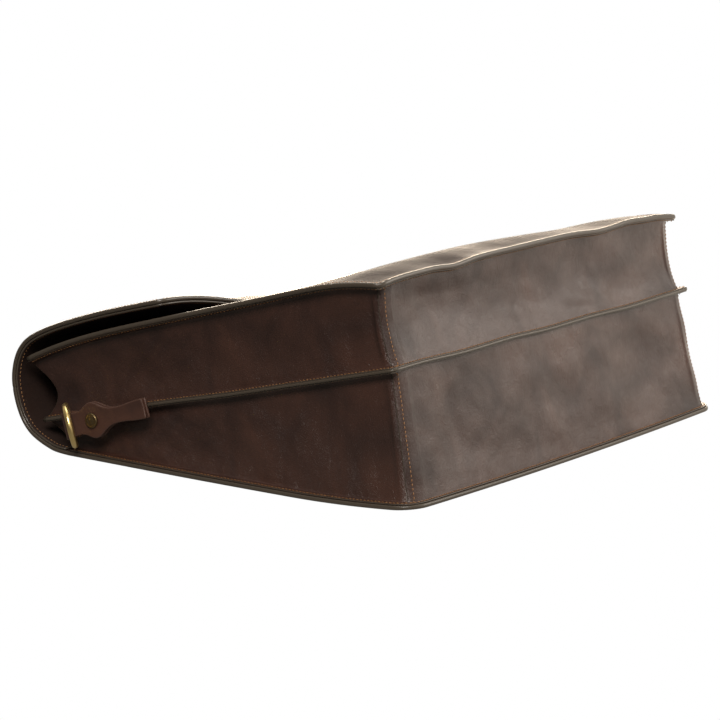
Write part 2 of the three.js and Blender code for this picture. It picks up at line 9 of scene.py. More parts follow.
import bpy
import numpy as np
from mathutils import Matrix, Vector


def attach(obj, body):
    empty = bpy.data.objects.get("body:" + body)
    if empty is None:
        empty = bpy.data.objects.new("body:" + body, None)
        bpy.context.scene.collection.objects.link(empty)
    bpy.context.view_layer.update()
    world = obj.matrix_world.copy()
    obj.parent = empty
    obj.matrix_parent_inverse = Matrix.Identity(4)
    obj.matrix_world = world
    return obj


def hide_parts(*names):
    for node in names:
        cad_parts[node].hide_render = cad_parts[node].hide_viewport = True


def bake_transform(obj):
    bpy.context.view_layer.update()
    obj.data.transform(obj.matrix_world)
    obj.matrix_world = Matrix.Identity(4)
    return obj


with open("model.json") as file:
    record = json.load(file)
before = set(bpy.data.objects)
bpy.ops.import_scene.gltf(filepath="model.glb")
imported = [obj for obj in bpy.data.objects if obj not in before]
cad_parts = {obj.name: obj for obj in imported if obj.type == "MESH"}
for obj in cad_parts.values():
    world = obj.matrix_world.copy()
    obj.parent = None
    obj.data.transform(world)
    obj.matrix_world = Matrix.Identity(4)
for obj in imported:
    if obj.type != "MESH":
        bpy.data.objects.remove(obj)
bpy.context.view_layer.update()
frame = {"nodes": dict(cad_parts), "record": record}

MM = 0.001

# ---- Driving dimensions, the same as the CAD's ----
HALF_WIDTH = 200.0
BACK_HALF_BASE, BACK_HALF_MOUTH, BACK_BOW = 208.0, 202.0, 2.6
FLAP_HALF_HEM = 200.0
HIDE, FLAP_HIDE, LINING, DIVIDER, GUSSET = 3.5, 3.2, 1.5, 2.2, 2.0
GAP = 0.3
SEAM_INSET = (10.0, 5.0)  # side, base
BASE_FRONT, MOUTH_FRONT = (-133.0, 157.0), (192.0, 70.0)  # y, z
BASE_DIVIDER, MOUTH_DIVIDER = (-145.0, 99.0), (177.0, 23.0)
BASE_BACK_Y, FOLD_Y = -166.0, 152.0
REST_CLEAR = 0.8
FLAP_STACK = FLAP_HIDE + 2 * GAP + LINING
SPINE_END = 5 / 8

# ---- How the leather is worked ----
STITCH_LENGTH, STITCH_PITCH, THREAD = 2.3, 3.1, 0.34
STITCH_INSET = 4.0  # from a cut edge
CELL = 4.0  # mesh spacing on a soft sheet


def clamp(v, low=0.0, high=1.0):
    return np.minimum(high, np.maximum(low, v))


def smooth(v):
    v = clamp(v)
    return v * v * (3 - 2 * v)


def lerp(a, b, t):
    return a + (b - a) * t


def unit(v):
    return v / np.maximum(np.linalg.norm(v, axis=-1, keepdims=True), 1e-9)


class Noise:
    """Smooth noise between -1 and 1 over a plane, from a seeded table."""

    def __init__(self, seed, cells=64):
        self.cells = cells
        self.table = np.random.default_rng(seed).uniform(-1, 1, (cells, cells))

    def __call__(self, u, v):
        u, v = np.broadcast_arrays(np.asarray(u, float), np.asarray(v, float))
        i, j = np.floor(u).astype(int), np.floor(v).astype(int)
        fu, fv = smooth(u - i), smooth(v - j)
        t, n = self.table, self.cells
        low = lerp(t[i % n, j % n], t[(i + 1) % n, j % n], fu)
        high = lerp(t[i % n, (j + 1) % n], t[(i + 1) % n, (j + 1) % n], fu)
        return lerp(low, high, fv)


# ---- Panel surfaces ----
def front_z(x, y):
    t = clamp((y - BASE_FRONT[0]) / (MOUTH_FRONT[0] - BASE_FRONT[0]))
    side = clamp(np.abs(x) / HALF_WIDTH)
    bow = 9.5 * (1 - np.abs(2 * t - 1) ** 4)
    dish = 22 * smooth((t - 0.05) / 0.9) * (1 - side**2)
    crown = 6.5 * (1 - side**6) * (1 - smooth(t / 0.25))
    leftward = 1 - 0.7 * smooth((x + 60) / 160)
    bulge = 6 * leftward * (1 - side**4) * smooth(t / 0.12) * (1 - smooth((t - 0.12) / 0.3))
    lift = 2.2 * smooth((-x - 140) / 60) * (1 - smooth((t - 0.1) / 0.25))
    slump = 7 * smooth((x - 25) / 140) * smooth((t - 0.05) / 0.35)
    return lerp(BASE_FRONT[1], MOUTH_FRONT[1], t) + bow - dish + crown + bulge + lift - slump


def divider_z(x, y):
    t = (y - BASE_DIVIDER[0]) / (MOUTH_DIVIDER[0] - BASE_DIVIDER[0])
    return lerp(BASE_DIVIDER[1], MOUTH_DIVIDER[1], t) + 0 * x


def back_z(x, y):
    rise = clamp((-60 - y) / 106)
    return 5 * rise**2 * (0.5 + 0.5 * (x / BACK_HALF_BASE) ** 2)


def back_half(y):
    t = clamp((y - BASE_BACK_Y) / (FOLD_Y - BASE_BACK_Y))
    return lerp(BACK_HALF_BASE, BACK_HALF_MOUTH, t) + BACK_BOW * np.sin(math.pi * t)


def straight_half(y):
    return HALF_WIDTH + 0 * y


FRONT = dict(half=straight_half, base=BASE_FRONT[0], mouth=MOUTH_FRONT[0], corner=7.0, web=10.0)
MIDDLE = dict(half=straight_half, base=BASE_DIVIDER[0], mouth=MOUTH_DIVIDER[0], corner=6.0, web=10.0)
BACK = dict(half=back_half, base=BASE_BACK_Y, mouth=FOLD_Y - 2, corner=18.0, web=14.0)


# ---- Materials ----
class Shader:
    """A node material on one principled shader, with short calls for its nodes."""

    def __init__(self, name):
        self.material = bpy.data.materials.new(name)
        self.material.use_nodes = True
        self.tree = self.material.node_tree
        self.out = self.tree.nodes["Principled BSDF"]
        self.set(self.out, **{"Specular IOR Level": 0.5})

    def set(self, node, **values):
        for key, value in values.items():
            node.inputs[key].default_value = value

    def add(self, kind, **settings):
        node = self.tree.nodes.new(kind)
        for key, value in settings.items():
            setattr(node, key, value)
        return node

    def link(self, source, target):
        self.tree.links.new(source, target)

    def coords(self, scale=(1, 1, 1), kind="UV"):
        place = self.add("ShaderNodeMapping")
        place.inputs["Scale"].default_value = scale
        self.link(self.add("ShaderNodeTexCoord").outputs[kind], place.inputs["Vector"])
        return place.outputs["Vector"]

    def noise(self, vector, scale, detail=3.0, rough=0.5, distortion=0.0):
        node = self.add("ShaderNodeTexNoise")
        self.link(vector, node.inputs["Vector"])
        self.set(node, Scale=scale, Detail=detail, Roughness=rough, Distortion=distortion)
        return node.outputs["Fac"]

    def cells(self, vector, scale):
        node = self.add("ShaderNodeTexVoronoi", feature="DISTANCE_TO_EDGE")
        self.link(vector, node.inputs["Vector"])
        self.set(node, Scale=scale)
        return node.outputs["Distance"]

    def ramp(self, value, stops):
        node = self.add("ShaderNodeValToRGB")
        while len(node.color_ramp.elements) < len(stops):
            node.color_ramp.elements.new(0.5)
        for element, (at, colour) in zip(node.color_ramp.elements, stops):
            element.position = at
            element.color = (*colour, 1.0) if len(colour) == 3 else colour
        self.link(value, node.inputs["Fac"])
        return node.outputs["Color"]

    def spread(self, value, low, high, from_low=0.0, from_high=1.0):
        node = self.add("ShaderNodeMapRange")
        self.link(value, node.inputs["Value"])
        self.set(node, **{"From Min": from_low, "From Max": from_high, "To Min": low, "To Max": high})
        return node.outputs["Result"]

    def mix(self, factor, a, b, blend="MIX"):
        node = self.add("ShaderNodeMix", data_type="RGBA", blend_type=blend)
        for socket, value in ((node.inputs[0], factor), (node.inputs[6], a), (node.inputs[7], b)):
            if isinstance(value, (int, float)):
                socket.default_value = value
            elif isinstance(value, tuple):
                socket.default_value = (*value, 1.0)
            else:
                self.link(value, socket)
        return node.outputs[2]

    def bump(self, height, distance, strength=1.0, after=None):
        node = self.add("ShaderNodeBump")
        self.set(node, Distance=distance, Strength=strength)
        self.link(height, node.inputs["Height"])
        if after is not None:
            self.link(after, node.inputs["Normal"])
        return node.outputs["Normal"]

    def principled(self, colour=None, normal=None, rough=None, **values):
        for socket, value in (("Base Color", colour), ("Normal", normal), ("Roughness", rough)):
            if value is None:
                continue
            if isinstance(value, (int, float)):
                self.out.inputs[socket].default_value = value
            elif isinstance(value, tuple):
                self.out.inputs[socket].default_value = (*value, 1.0)
            else:
                self.link(value, self.out.inputs[socket])
        self.set(self.out, **values)
        return self.material


def leather(name, dark, light, rough, grain=1.0, mottle=9.0, coat=0.0, kind="UV", sheen=0.0):
    """Glazed hide: clouded colour, fine pores and soft creases. Texture coordinates are in metres."""
    s = Shader(name)
    at = s.coords(kind=kind)
    clouds = s.noise(at, mottle, 4.0, 0.55, 0.6)
    colour = s.ramp(clouds, [(0.32, dark), (0.68, light)])
    fine = s.noise(at, 420.0, 2.0, 0.5)
    colour = s.mix(s.spread(fine, 0.0, 0.25), colour, tuple(c * 0.55 for c in dark))
    pores = s.spread(s.cells(at, 900.0), 0.0, 1.0, 0.0, 0.25)
    wrinkles = s.noise(at, 130.0, 6.0, 0.65, 1.2)
    normal = s.bump(wrinkles, 0.0006 * grain, 0.5)
    normal = s.bump(s.noise(at, 30.0, 1.5, 0.5, 0.15), 0.0045 * grain, 0.5, normal)
    normal = s.bump(pores, 0.00008 * grain, 0.6, normal)
    roughness = s.spread(clouds, rough + 0.18, rough - 0.08, 0.35, 0.65)
    return s.principled(colour, normal, roughness, **{
        "Coat Weight": coat, "Coat Roughness": 0.25,
        "Sheen Weight": sheen, "Sheen Roughness": 0.35, "Sheen Tint": (1.0, 0.66, 0.42, 1.0),
    })


def plain(name, colour, rough, metallic=0.0, bump=0.0, scale=300.0, **values):
    s = Shader(name)
    at = s.coords(kind="Object")
    normal = s.bump(s.noise(at, scale, 3.0), bump, 0.6) if bump else None
    return s.principled(colour, normal, rough, Metallic=metallic, **values)


# ---- Meshes ----
def publish(obj, body, nodes=()):
    """Makes a finished piece ride on its body and stand for its CAD nodes."""
    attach(obj, body)
    if nodes:
        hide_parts(*nodes)
    return obj


def make_object(name, points, faces, materials, face_material=None, uv=None):
    """points are millimetres. face_material is one number per face, and uv one (u, v) in metres per point."""
    mesh = bpy.data.meshes.new(name)
    mesh.from_pydata((np.asarray(points) * MM).tolist(), [], [tuple(int(i) for i in f) for f in faces])
    for material in materials:
        mesh.materials.append(material)
    if face_material is not None:
        mesh.polygons.foreach_set("material_index", np.asarray(face_material, np.int32))
    mesh.polygons.foreach_set("use_smooth", np.ones(len(mesh.polygons), bool))
    if uv is not None:
        corner = np.zeros(len(mesh.loops), np.int32)
        mesh.loops.foreach_get("vertex_index", corner)
        layer = mesh.uv_layers.new(name="metres")
        layer.data.foreach_set("uv", np.asarray(uv)[corner].astype(np.float32).ravel())
    mesh.update()
    obj = bpy.data.objects.new(name, mesh)
    bpy.context.scene.collection.objects.link(obj)
    return obj


def grid_normals(grid):
    along, across = np.gradient(grid, axis=0), np.gradient(grid, axis=1)
    return unit(np.cross(along, across))


def grid_faces(rows, cols, start=0, flip=False):
    r, c = np.meshgrid(np.arange(rows - 1), np.arange(cols - 1), indexing="ij")
    a = start + (r * cols + c).ravel()
    quads = np.stack([a, a + 1, a + cols + 1, a + cols], 1)
    return quads[:, ::-1] if flip else quads


def border(rows, cols):
    """Indices round the edge of a grid, in order."""
    top = np.arange(cols)
    right = np.arange(1, rows) * cols + cols - 1
    bottom = (rows - 1) * cols + np.arange(cols - 2, -1, -1)
    left = np.arange(rows - 2, 0, -1) * cols
    return np.concatenate([top, right, bottom, left])


def sheet_parts(grid, thickness, round_edge=0.75):
    """Points, faces, face materials (0 face, 1 edge, 2 back) and UVs of a leather sheet round a middle surface."""
    rows, cols = grid.shape[:2]
    normal = grid_normals(grid)
    half = np.broadcast_to(np.asarray(thickness, float) / 2, (rows, cols))[..., None]  # one number, or one per column
    count = rows * cols
    points = [(grid + normal * half).reshape(-1, 3), (grid - normal * half).reshape(-1, 3)]
    step_r = np.linalg.norm(np.diff(grid, axis=0), axis=2).mean(1)
    step_c = np.linalg.norm(np.diff(grid, axis=1), axis=2).mean(0)
    v, u = np.concatenate([[0], np.cumsum(step_r)]), np.concatenate([[0], np.cumsum(step_c)])
    uu, vv = np.meshgrid(u, v)
    uv = np.stack([uu, vv], 2).reshape(-1, 2) * MM
    uvs = [uv, uv]
    loop = border(rows, cols)
    edge, n, h = grid.reshape(-1, 3)[loop], normal.reshape(-1, 3)[loop], half.reshape(-1, 1)[loop]
    tangent = unit(np.roll(edge, -1, 0) - np.roll(edge, 1, 0))
    outward = unit(np.cross(n, tangent))
    m = len(loop)
    rings = [loop]
    run = np.concatenate([[0], np.cumsum(np.linalg.norm(np.roll(edge, -1, 0) - edge, axis=1))])[:-1]
    for k, angle in enumerate(np.radians([58, 24, -24, -58])):
        ring = edge + outward * h * round_edge * math.cos(angle) + n * h * math.sin(angle)
        rings.append(2 * count + k * m + np.arange(m))
        points.append(ring)
        uvs.append(np.stack([run, np.full(m, float(k))], 1) * MM)
    rings.append(loop + count)
    faces = [grid_faces(rows, cols, 0, True), grid_faces(rows, cols, count)]
    kinds = [np.zeros(len(faces[0])), np.full(len(faces[1]), 2)]
    for a, b in zip(rings, rings[1:]):
        nxt_a, nxt_b = np.roll(a, -1), np.roll(b, -1)
        faces.append(np.stack([a, nxt_a, nxt_b, b], 1))
        kinds.append(np.ones(m))
    return np.concatenate(points), np.concatenate(faces), np.concatenate(kinds), np.concatenate(uvs)


def sheet(name, grid, thickness, face, edge, back=None, round_edge=0.75):
    points, faces, kinds, uv = sheet_parts(np.asarray(grid, float), thickness, round_edge)
    return make_object(name, points, faces, [face, edge, back or face], kinds, uv)


def tube(name, path, radius, material, closed=False, sides=20, squash=None):
    """A round bar along a path. radius may be one number or one per point; squash is (direction, share)."""
    path = np.asarray(path, float)
    if closed:
        along = unit(np.roll(path, -1, 0) - np.roll(path, 1, 0))
    else:
        along = unit(np.gradient(path, axis=0))
    up = np.zeros(3)
    up[np.argmin(np.abs(along).max(0))] = 1.0
    frames = []
    for t in along:
        up = unit(up - t * (up @ t))
        frames.append((up, np.cross(t, up)))
    a = np.linspace(0, 2 * np.pi, sides, endpoint=False)
    radius = np.broadcast_to(radius, len(path))
    rings = [p + r * (np.cos(a)[:, None] * x + np.sin(a)[:, None] * y) for p, r, (x, y) in zip(path, radius, frames)]
    if closed:  # turn each ring a little so that the last meets the first
        first, last = frames[0][0], frames[-1][0]
        twist = math.atan2(float(np.cross(last, first) @ along[0]), float(last @ first))
        rings = []
        for i, (p, r, (x, y)) in enumerate(zip(path, radius, frames)):
            b = a + twist * i / len(path)
            rings.append(p + r * (np.cos(b)[:, None] * x + np.sin(b)[:, None] * y))
    points = np.concatenate(rings)
    if squash is not None:
        direction, share, centre = squash
        points -= np.outer((points - centre) @ direction * (1 - share), direction)
    faces = []
    count = len(rings)
    for r in range(count if closed else count - 1):
        here, there = r * sides, ((r + 1) % count) * sides
        for k in range(sides):
            j = (k + 1) % sides
            faces.append((here + k, here + j, there + j, there + k))
    if not closed:
        faces += [tuple(range(sides - 1, -1, -1)), tuple((count - 1) * sides + k for k in range(sides))]
    return make_object(name, points, faces, [material])


def turned(name, profile, centre, axis, material, sides=40):
    """A turned piece: profile is (radius, height) pairs along the axis."""
    axis = unit(np.asarray(axis, float))
    helper = np.array([0.0, 0.0, 1.0]) if abs(axis[2]) < 0.9 else np.array([0.0, 1.0, 0.0])
    x = unit(np.cross(axis, helper))
    y = np.cross(axis, x)
    a = np.linspace(0, 2 * np.pi, sides, endpoint=False)
    ring = np.cos(a)[:, None] * x + np.sin(a)[:, None] * y
    points = np.concatenate([np.asarray(centre) + axis * h + ring * max(r, 0.01) for r, h in profile])
    faces = []
    for r in range(len(profile) - 1):
        for k in range(sides):
            j = (k + 1) % sides
            faces.append((r * sides + k, r * sides + j, (r + 1) * sides + j, (r + 1) * sides + k))
    faces += [tuple(range(sides - 1, -1, -1)), tuple((len(profile) - 1) * sides + k for k in range(sides))]
    return make_object(name, points, faces, [material])


def resample(path, pitch, *others):
    """Points at an even pitch along a path, and the other arrays at the same places."""
    path = np.asarray(path, float)
    run = np.concatenate([[0], np.cumsum(np.linalg.norm(np.diff(path, axis=0), axis=1))])
    count = max(2, int(run[-1] / pitch) + 1)
    at = (np.arange(count) + 0.5) * run[-1] / count
    pick = [np.stack([np.interp(at, run, arr[:, k]) for k in range(arr.shape[1])], 1) for arr in (path, *others)]
    return pick


def stitches(name, rows, material):
    """Rows of stitches. Each row is (path on the surface, outward normals)."""
    rng = np.random.default_rng(7)
    sides, rings = 6, 5
    a = np.linspace(0, 2 * np.pi, sides, endpoint=False)
    t = np.linspace(-1, 1, rings)
    width = np.sqrt(np.maximum(1 - (np.abs(t) ** 3.0), 0.04))
    points, faces = [], []
    base = 0
    for path, normals in rows:
        middle, up = resample(path, STITCH_PITCH, np.asarray(normals, float))
        along = unit(np.gradient(middle, axis=0))
        up = unit(up)
        side = np.cross(along, up)
        lean = 0.10 + rng.uniform(-0.03, 0.03, len(middle))
        along = unit(along + side * lean[:, None])
        side = np.cross(along, up)
        for p, d, s, n in zip(middle, along, side, up):
            for k in range(rings):
                sag = -0.32 * t[k] ** 2
                c = p + d * t[k] * STITCH_LENGTH / 2 + n * (0.16 + sag)
                points.append(c + THREAD * width[k] * (np.cos(a)[:, None] * s + 0.75 * np.sin(a)[:, None] * n))
            for k in range(rings - 1):
                for m in range(sides):
                    j = (m + 1) % sides
                    lo, hi = base + k * sides, base + (k + 1) * sides
                    faces.append((lo + m, lo + j, hi + j, hi + m))
            base += rings * sides
    return make_object(name, np.concatenate(points), faces, [material])


def surface_normals(path, z_at, sign=1.0):
    """Normals of z = z_at(x, y) at a path's points."""
    x, y, h = path[:, 0], path[:, 1], 0.5
    dx = (z_at(x + h, y) - z_at(x - h, y)) / (2 * h)
    dy = (z_at(x, y + h) - z_at(x, y - h)) / (2 * h)
    return unit(np.stack([-dx, -dy, np.ones_like(dx)], 1)) * sign


# ---- Panels' outlines ----
def edge_path(panel, inset, radius, spacing=CELL, mouth_inset=0.0):
    """x, y and outward normal (two numbers) of points along the left side, the base and the right side of a panel."""
    half, base = panel["half"], panel["base"] + inset
    radius = max(radius, 0.5)
    top = panel["mouth"] - mouth_inset
    count = int((top - base - radius) / spacing)
    y = np.linspace(top, base + radius, count)
    left = np.stack([-(half(y) - inset), y, np.full(count, -1.0), np.zeros(count)], 1)
    cx, cy = -(half(base + radius) - inset - radius), base + radius
    a = np.linspace(0, np.pi / 2, 9)[1:-1]
    corner = np.stack([cx - radius * np.cos(a), cy - radius * np.sin(a), -np.cos(a), -np.sin(a)], 1)
    count = int(-2 * cx / spacing)
    x = np.linspace(cx, 0, count // 2, endpoint=False)
    bottom = np.stack([x, np.full(len(x), base), 0 * x, np.full(len(x), -1.0)], 1)
    first = np.concatenate([left, corner, bottom])
    middle = np.array([[0.0, base, 0.0, -1.0]])
    other = first[::-1] * np.array([-1.0, 1.0, -1.0, 1.0])
    return np.concatenate([first, middle, other])


def edge_row(panel, inset, z_at, lift, sign=1.0, mouth_inset=2.5):
    """A row of stitches on a panel-shaped surface, lift above z_at. sign is -1 for a surface seen from below."""
    path = edge_path(panel, inset, panel["corner"] - inset, 3.0, mouth_inset)
    xyz = np.stack([path[:, 0], path[:, 1], z_at(path[:, 0], path[:, 1]) + lift], 1)
    return xyz, surface_normals(xyz, z_at, sign)


def panel_grid(panel, z_at, mouth=None, rows=84, cols=100, trim=0.8):
    """Middle surface of a panel with round base corners, set in by trim so that the round edge ends where the CAD's does."""
    mouth = panel["mouth"] if mouth is None else mouth
    base, corner = panel["base"] + trim, panel["corner"]
    a = np.linspace(0, np.pi / 2, 9)
    y = np.concatenate([base + corner * (1 - np.cos(a)), np.linspace(base + corner, mouth - trim, rows)[1:]])
    cut = np.concatenate([corner * (1 - np.sin(a)), np.zeros(rows - 1)])
    half = panel["half"](y) - cut - trim
    x = half[:, None] * np.linspace(-1, 1, cols)[None, :]
    y = np.broadcast_to(y[:, None], x.shape)
    return np.stack([x, y, z_at(x, y)], 2)


HIDE_FACE = leather("hide", (0.030, 0.013, 0.009), (0.070, 0.034, 0.023), 0.33, 0.9, 9.0, 0.5, sheen=0.5)
GUSSET_FACE = leather("gusset_hide", (0.020, 0.007, 0.005), (0.074, 0.033, 0.023), 0.34, 1.9, 15.0, 0.2)
LINING_FACE = leather("lining_hide", (0.016, 0.007, 0.0048), (0.032, 0.014, 0.009), 0.65, 0.6, 12.0)
STRAP_FACE = leather("strap_hide", (0.046, 0.018, 0.012), (0.095, 0.042, 0.028), 0.42, 0.5, 30.0, 0.1)
EDGE = plain("painted_edge", (0.062, 0.050, 0.038), 0.3, bump=0.0001, scale=260.0)
STRAP_EDGE = plain("strap_edge", (0.075, 0.036, 0.026), 0.45, bump=0.0001, scale=260.0)
THREAD_COLOUR = plain("thread", (0.30, 0.15, 0.062), 0.6)
BRASS = plain("brass", (0.93, 0.72, 0.32), 0.3, 1.0, bump=0.00004, scale=180.0)
OLD_BRASS = plain("old_brass", (0.20, 0.145, 0.075), 0.36, 1.0, bump=0.0001, scale=500.0)
STEEL = plain("steel", (0.42, 0.42, 0.42), 0.38, 1.0)

# ---- How the soft surfaces differ from the CAD's plain ones ----
LIP_CURL, LIP_WIDTH = 2.4, 11.0  # the stitched lip stands up a little round the front panel
SKIN = 1.5  # gusset leather as it is seen at a lip
BASE_DENTS = ((-108, 2.3, 20), (88, 2.6, 30), (150, 0.8, 14))  # x, depth and spread along the front panel's base edge
waves = Noise(3)


def front_skin_z(x, y):
    """Outer face of the front panel: the CAD's, with a curled lip and dents along its base edge."""
    edge = np.minimum(HALF_WIDTH - np.abs(x), y - BASE_FRONT[0])
    inner = 1 - (1 - clamp(edge / LIP_WIDTH)) ** 2
    near_base = 1 - smooth((y - BASE_FRONT[0]) / 55)
    dents = sum(depth * np.exp(-(((x - at) / spread) ** 2)) for at, depth, spread in BASE_DENTS)
    return front_z(x, y) - LIP_CURL * inner * (0.3 + 0.7 * near_base) - dents * near_base


def divider_skin_z(x, y):
    near_base = 1 - smooth((y - BASE_DIVIDER[0]) / 90)
    near_side = smooth((np.abs(x) - 120) / 60)
    return divider_z(x, y) + 1.5 * waves(x / 55 + 20, 4.5) * near_base + 0.8 * waves(y / 60, 7.5) * near_side


def back_skin_z(x, y):
    return back_z(x, y)


# ---- Gussets ----
def edge_point(panel, inset, radius, zone, t):
    """A point on a panel's edge or on the gusset's wall, set in by (side, base), and its outward normal."""
    in_side, in_base = inset
    if zone == "side":
        y = lerp(panel["mouth"], panel["base"] + in_base + radius, t)
        return np.array([-(float(panel["half"](y)) - in_side), y]), np.array([-1.0, 0.0])
    cy = panel["base"] + in_base + radius
    cx = -(float(panel["half"](cy)) - in_side - radius)
    if zone == "corner":
        n = np.array([-math.cos(t), -math.sin(t)])
        return np.array([cx, cy]) + radius * n, n
    return np.array([lerp(cx, -cx, t), cy - radius]), np.array([0.0, -1.0])


MITRE = math.pi / 4
LAP = 0.26  # radians, how far the base piece laps over the side piece
WALL = (0.10, 0.28, 0.5, 0.72, 0.90)  # places up a wall between its two bends
side_places = [("side", t) for t in np.linspace(0, 1, 80)]
side_places += [("corner", a) for a in np.linspace(0.06, MITRE + 0.1, 8)]
lap_places = [("corner", a) for a in np.linspace(MITRE - LAP, math.pi / 2 - 0.06, 12)]
base_places = [("base", t) for t in np.linspace(0, 1, 96)]


def soften(rows, passes=3):
    """Rounds the bends of each row by cutting its corners."""
    for _ in range(passes):
        a, b = rows[:, :-1], rows[:, 1:]
        cut = np.stack([0.75 * a + 0.25 * b, 0.25 * a + 0.75 * b], 2).reshape(len(rows), -1, 3)
        rows = np.concatenate([rows[:, :1], cut[:, 1:-1], rows[:, -1:]], 1)
    return rows


LIP = 0.8  # gusset leather is skived to this at its lips
BEHIND = (1.5, 1.5)  # lips end this far behind the panel's edge
WALL_MIDDLE = tuple(inset - GUSSET / 2 for inset in SEAM_INSET)


def channel(lower, upper, z_low, z_high, places, flare=1.0, scoop=0.0, sag=2.5):
    """Control rows of a gusset, from the lower lip up the wall to the upper lip, and each row's outward direction."""
    rows, outs = [], []
    for zone, t in places:
        low, _ = edge_point(lower, BEHIND, lower["corner"], zone, t)
        high, _ = edge_point(upper, BEHIND, upper["corner"], zone, t)
        low_wall, n = edge_point(lower, WALL_MIDDLE, lower["web"], zone, t)
        high_wall, _ = edge_point(upper, WALL_MIDDLE, upper["web"], zone, t)
        zl = lambda p: float(z_low(p[0], p[1])) + LIP / 2
        zh = lambda p: float(z_high(p[0], p[1])) - LIP / 2
        near = (1 - t) ** 6 if zone == "side" else 0.0
        flat = 0.6 if zone == "corner" else 1.0
        low_bend, high_bend = lerp(low, low_wall, 0.6), lerp(high, high_wall, 0.6)
        row = [(*low, zl(low)), (*low_bend, zl(low_bend)), (*low_wall, zl(low_wall) + 0.4)]
        for w in WALL:
            pull = math.sin(math.pi * w)
            p = lerp(low_wall, high_wall, 1 - (1 - w) ** flare) - n * sag * pull * flat
            row.append((p[0], p[1] - scoop * pull * near, lerp(zl(low_wall), zh(high_wall), w)))
        row += [(*high_wall, zh(high_wall) - 0.4), (*high_bend, zh(high_bend)), (*high, zh(high))]
        rows.append(row)
        outs.append((*n, 0.0))
    return np.array(rows), np.array(outs)


def crumple(rows, outs, seed, broad, fine):
    """Soft bulges and creases across the wall, none at the lips."""
    rows = soften(rows)
    step = np.linalg.norm(np.diff(rows, axis=1), axis=2)
    w = np.concatenate([np.zeros((len(rows), 1)), np.cumsum(step, 1)], 1)
    w /= w[:, -1:]
    s = np.concatenate([[0], np.cumsum(np.linalg.norm(np.diff(rows[:, rows.shape[1] // 2], axis=0), axis=1))])[:, None]
    inside = smooth((w - 0.13) / 0.2) * smooth((0.87 - w) / 0.2)
    big, mid, small = Noise(seed), Noise(seed + 1), Noise(seed + 2)
    push = broad * big(s / 62, w * 1.7) + 0.45 * broad * mid(s / 27 + w * 1.5, w * 2.6)
    push = push + fine * small(s / 9 + w * 2, w * 4.5)
    return rows + outs[:, None, :] * (push * inside)[..., None]


def flipped(grid):
    return grid[::-1] * np.array([-1.0, 1.0, 1.0])


def add_gusset(name, lower, upper, z_low, z_high, seed, flare=1.0, scoop=0.0):
    # The right side is made mirrored, so its heights are read at -x.
    low_back, high_back = (lambda x, y: z_low(-x, y)), (lambda x, y: z_high(-x, y))
    side, side_out = channel(lower, upper, z_low, z_high, side_places, flare, scoop)
    side_right, _ = channel(lower, upper, low_back, high_back, side_places, flare, scoop)
    lap, lap_out = channel(lower, upper, z_low, z_high, lap_places, flare)
    lap_right, _ = channel(lower, upper, low_back, high_back, lap_places, flare)
    base, base_out = channel(lower, upper, z_low, z_high, base_places, flare)
    over = 1 - smooth(np.linspace(0, 1, len(lap)) / 0.8)  # the lapped end lies on the side piece
    raised = lap_out[:, None, :] * (over * SKIN * 1.15)[:, None, None]
    mirror = np.array([-1.0, 1.0, 1.0])
    left = crumple(side, side_out, seed, 1.9, 0.2)
    right = crumple(flipped(side_right), side_out[::-1] * mirror, seed + 31, 1.9, 0.2)
    whole = np.concatenate([lap + raised, base, flipped(lap_right + raised)])
    outs = np.concatenate([lap_out, base_out, lap_out[::-1] * mirror])
    bottom = crumple(whole, outs, seed + 57, 2.6, 0.35)
    for part, grid in (("left", left), ("right", right), ("bottom", bottom)):
        w = np.linspace(0, 1, grid.shape[1])
        skived = LIP + (SKIN - LIP) * smooth((np.minimum(w, 1 - w) - 0.1) / 0.12)
        piece = sheet(f"{name}_{part}_skin", grid, skived, GUSSET_FACE, EDGE, LINING_FACE)
        publish(piece, "bag", [f"{name}_{part}"])
    rows = []  # two rows of stitches up each lapped corner seam
    for ends in (bottom, bottom[::-1]):
        normal = grid_normals(bottom)
        face = normal if ends is bottom else normal[::-1]
        run = np.linalg.norm(np.diff(ends[:, ends.shape[1] // 2], axis=0), axis=1).cumsum()
        at = 1 + int(np.searchsorted(run, 3.6))
        rows.append((ends[at, 4:-4] + face[at, 4:-4] * SKIN / 2, face[at, 4:-4]))
    return rows


front_under = lambda x, y: front_skin_z(x, y) - HIDE
divider_top = lambda x, y: divider_skin_z(x, y) + DIVIDER / 2
divider_under = lambda x, y: divider_skin_z(x, y) - DIVIDER / 2
back_inside = lambda x, y: back_skin_z(x, y) + HIDE

seam_rows = add_gusset("rear_gusset", BACK, MIDDLE, back_inside, divider_under, 101)
seam_rows += add_gusset("front_gusset", MIDDLE, FRONT, divider_top, front_under, 202, 2.2, 17.0)

LIP_STITCH_INSET = 2.8  # the rows that show in the groove between a lip and its gusset

# ---- Front panel and divider ----
front_mid = lambda x, y: front_skin_z(x, y) - HIDE / 2
front_grid = panel_grid(FRONT, front_mid)
front_skin = sheet("front_panel_skin", front_grid, HIDE, HIDE_FACE, EDGE, LINING_FACE)
publish(front_skin, "bag", ["front_panel"])
divider_sheet = panel_grid(MIDDLE, divider_skin_z)
divider_piece = sheet("divider_skin", divider_sheet, DIVIDER, LINING_FACE, EDGE)
publish(divider_piece, "bag", ["divider_panel"])

seam_rows += [
    edge_row(FRONT, STITCH_INSET, front_skin_z, 0.0),
    edge_row(FRONT, LIP_STITCH_INSET, front_under, -LIP - 0.3, -1.0),
    edge_row(MIDDLE, LIP_STITCH_INSET, divider_top, LIP + 0.3),
    edge_row(MIDDLE, STITCH_INSET, divider_under, -LIP, -1.0),
    edge_row(BACK, LIP_STITCH_INSET, back_inside, LIP + 0.3),
    edge_row(BACK, STITCH_INSET, back_skin_z, 0.0, -1.0),
]

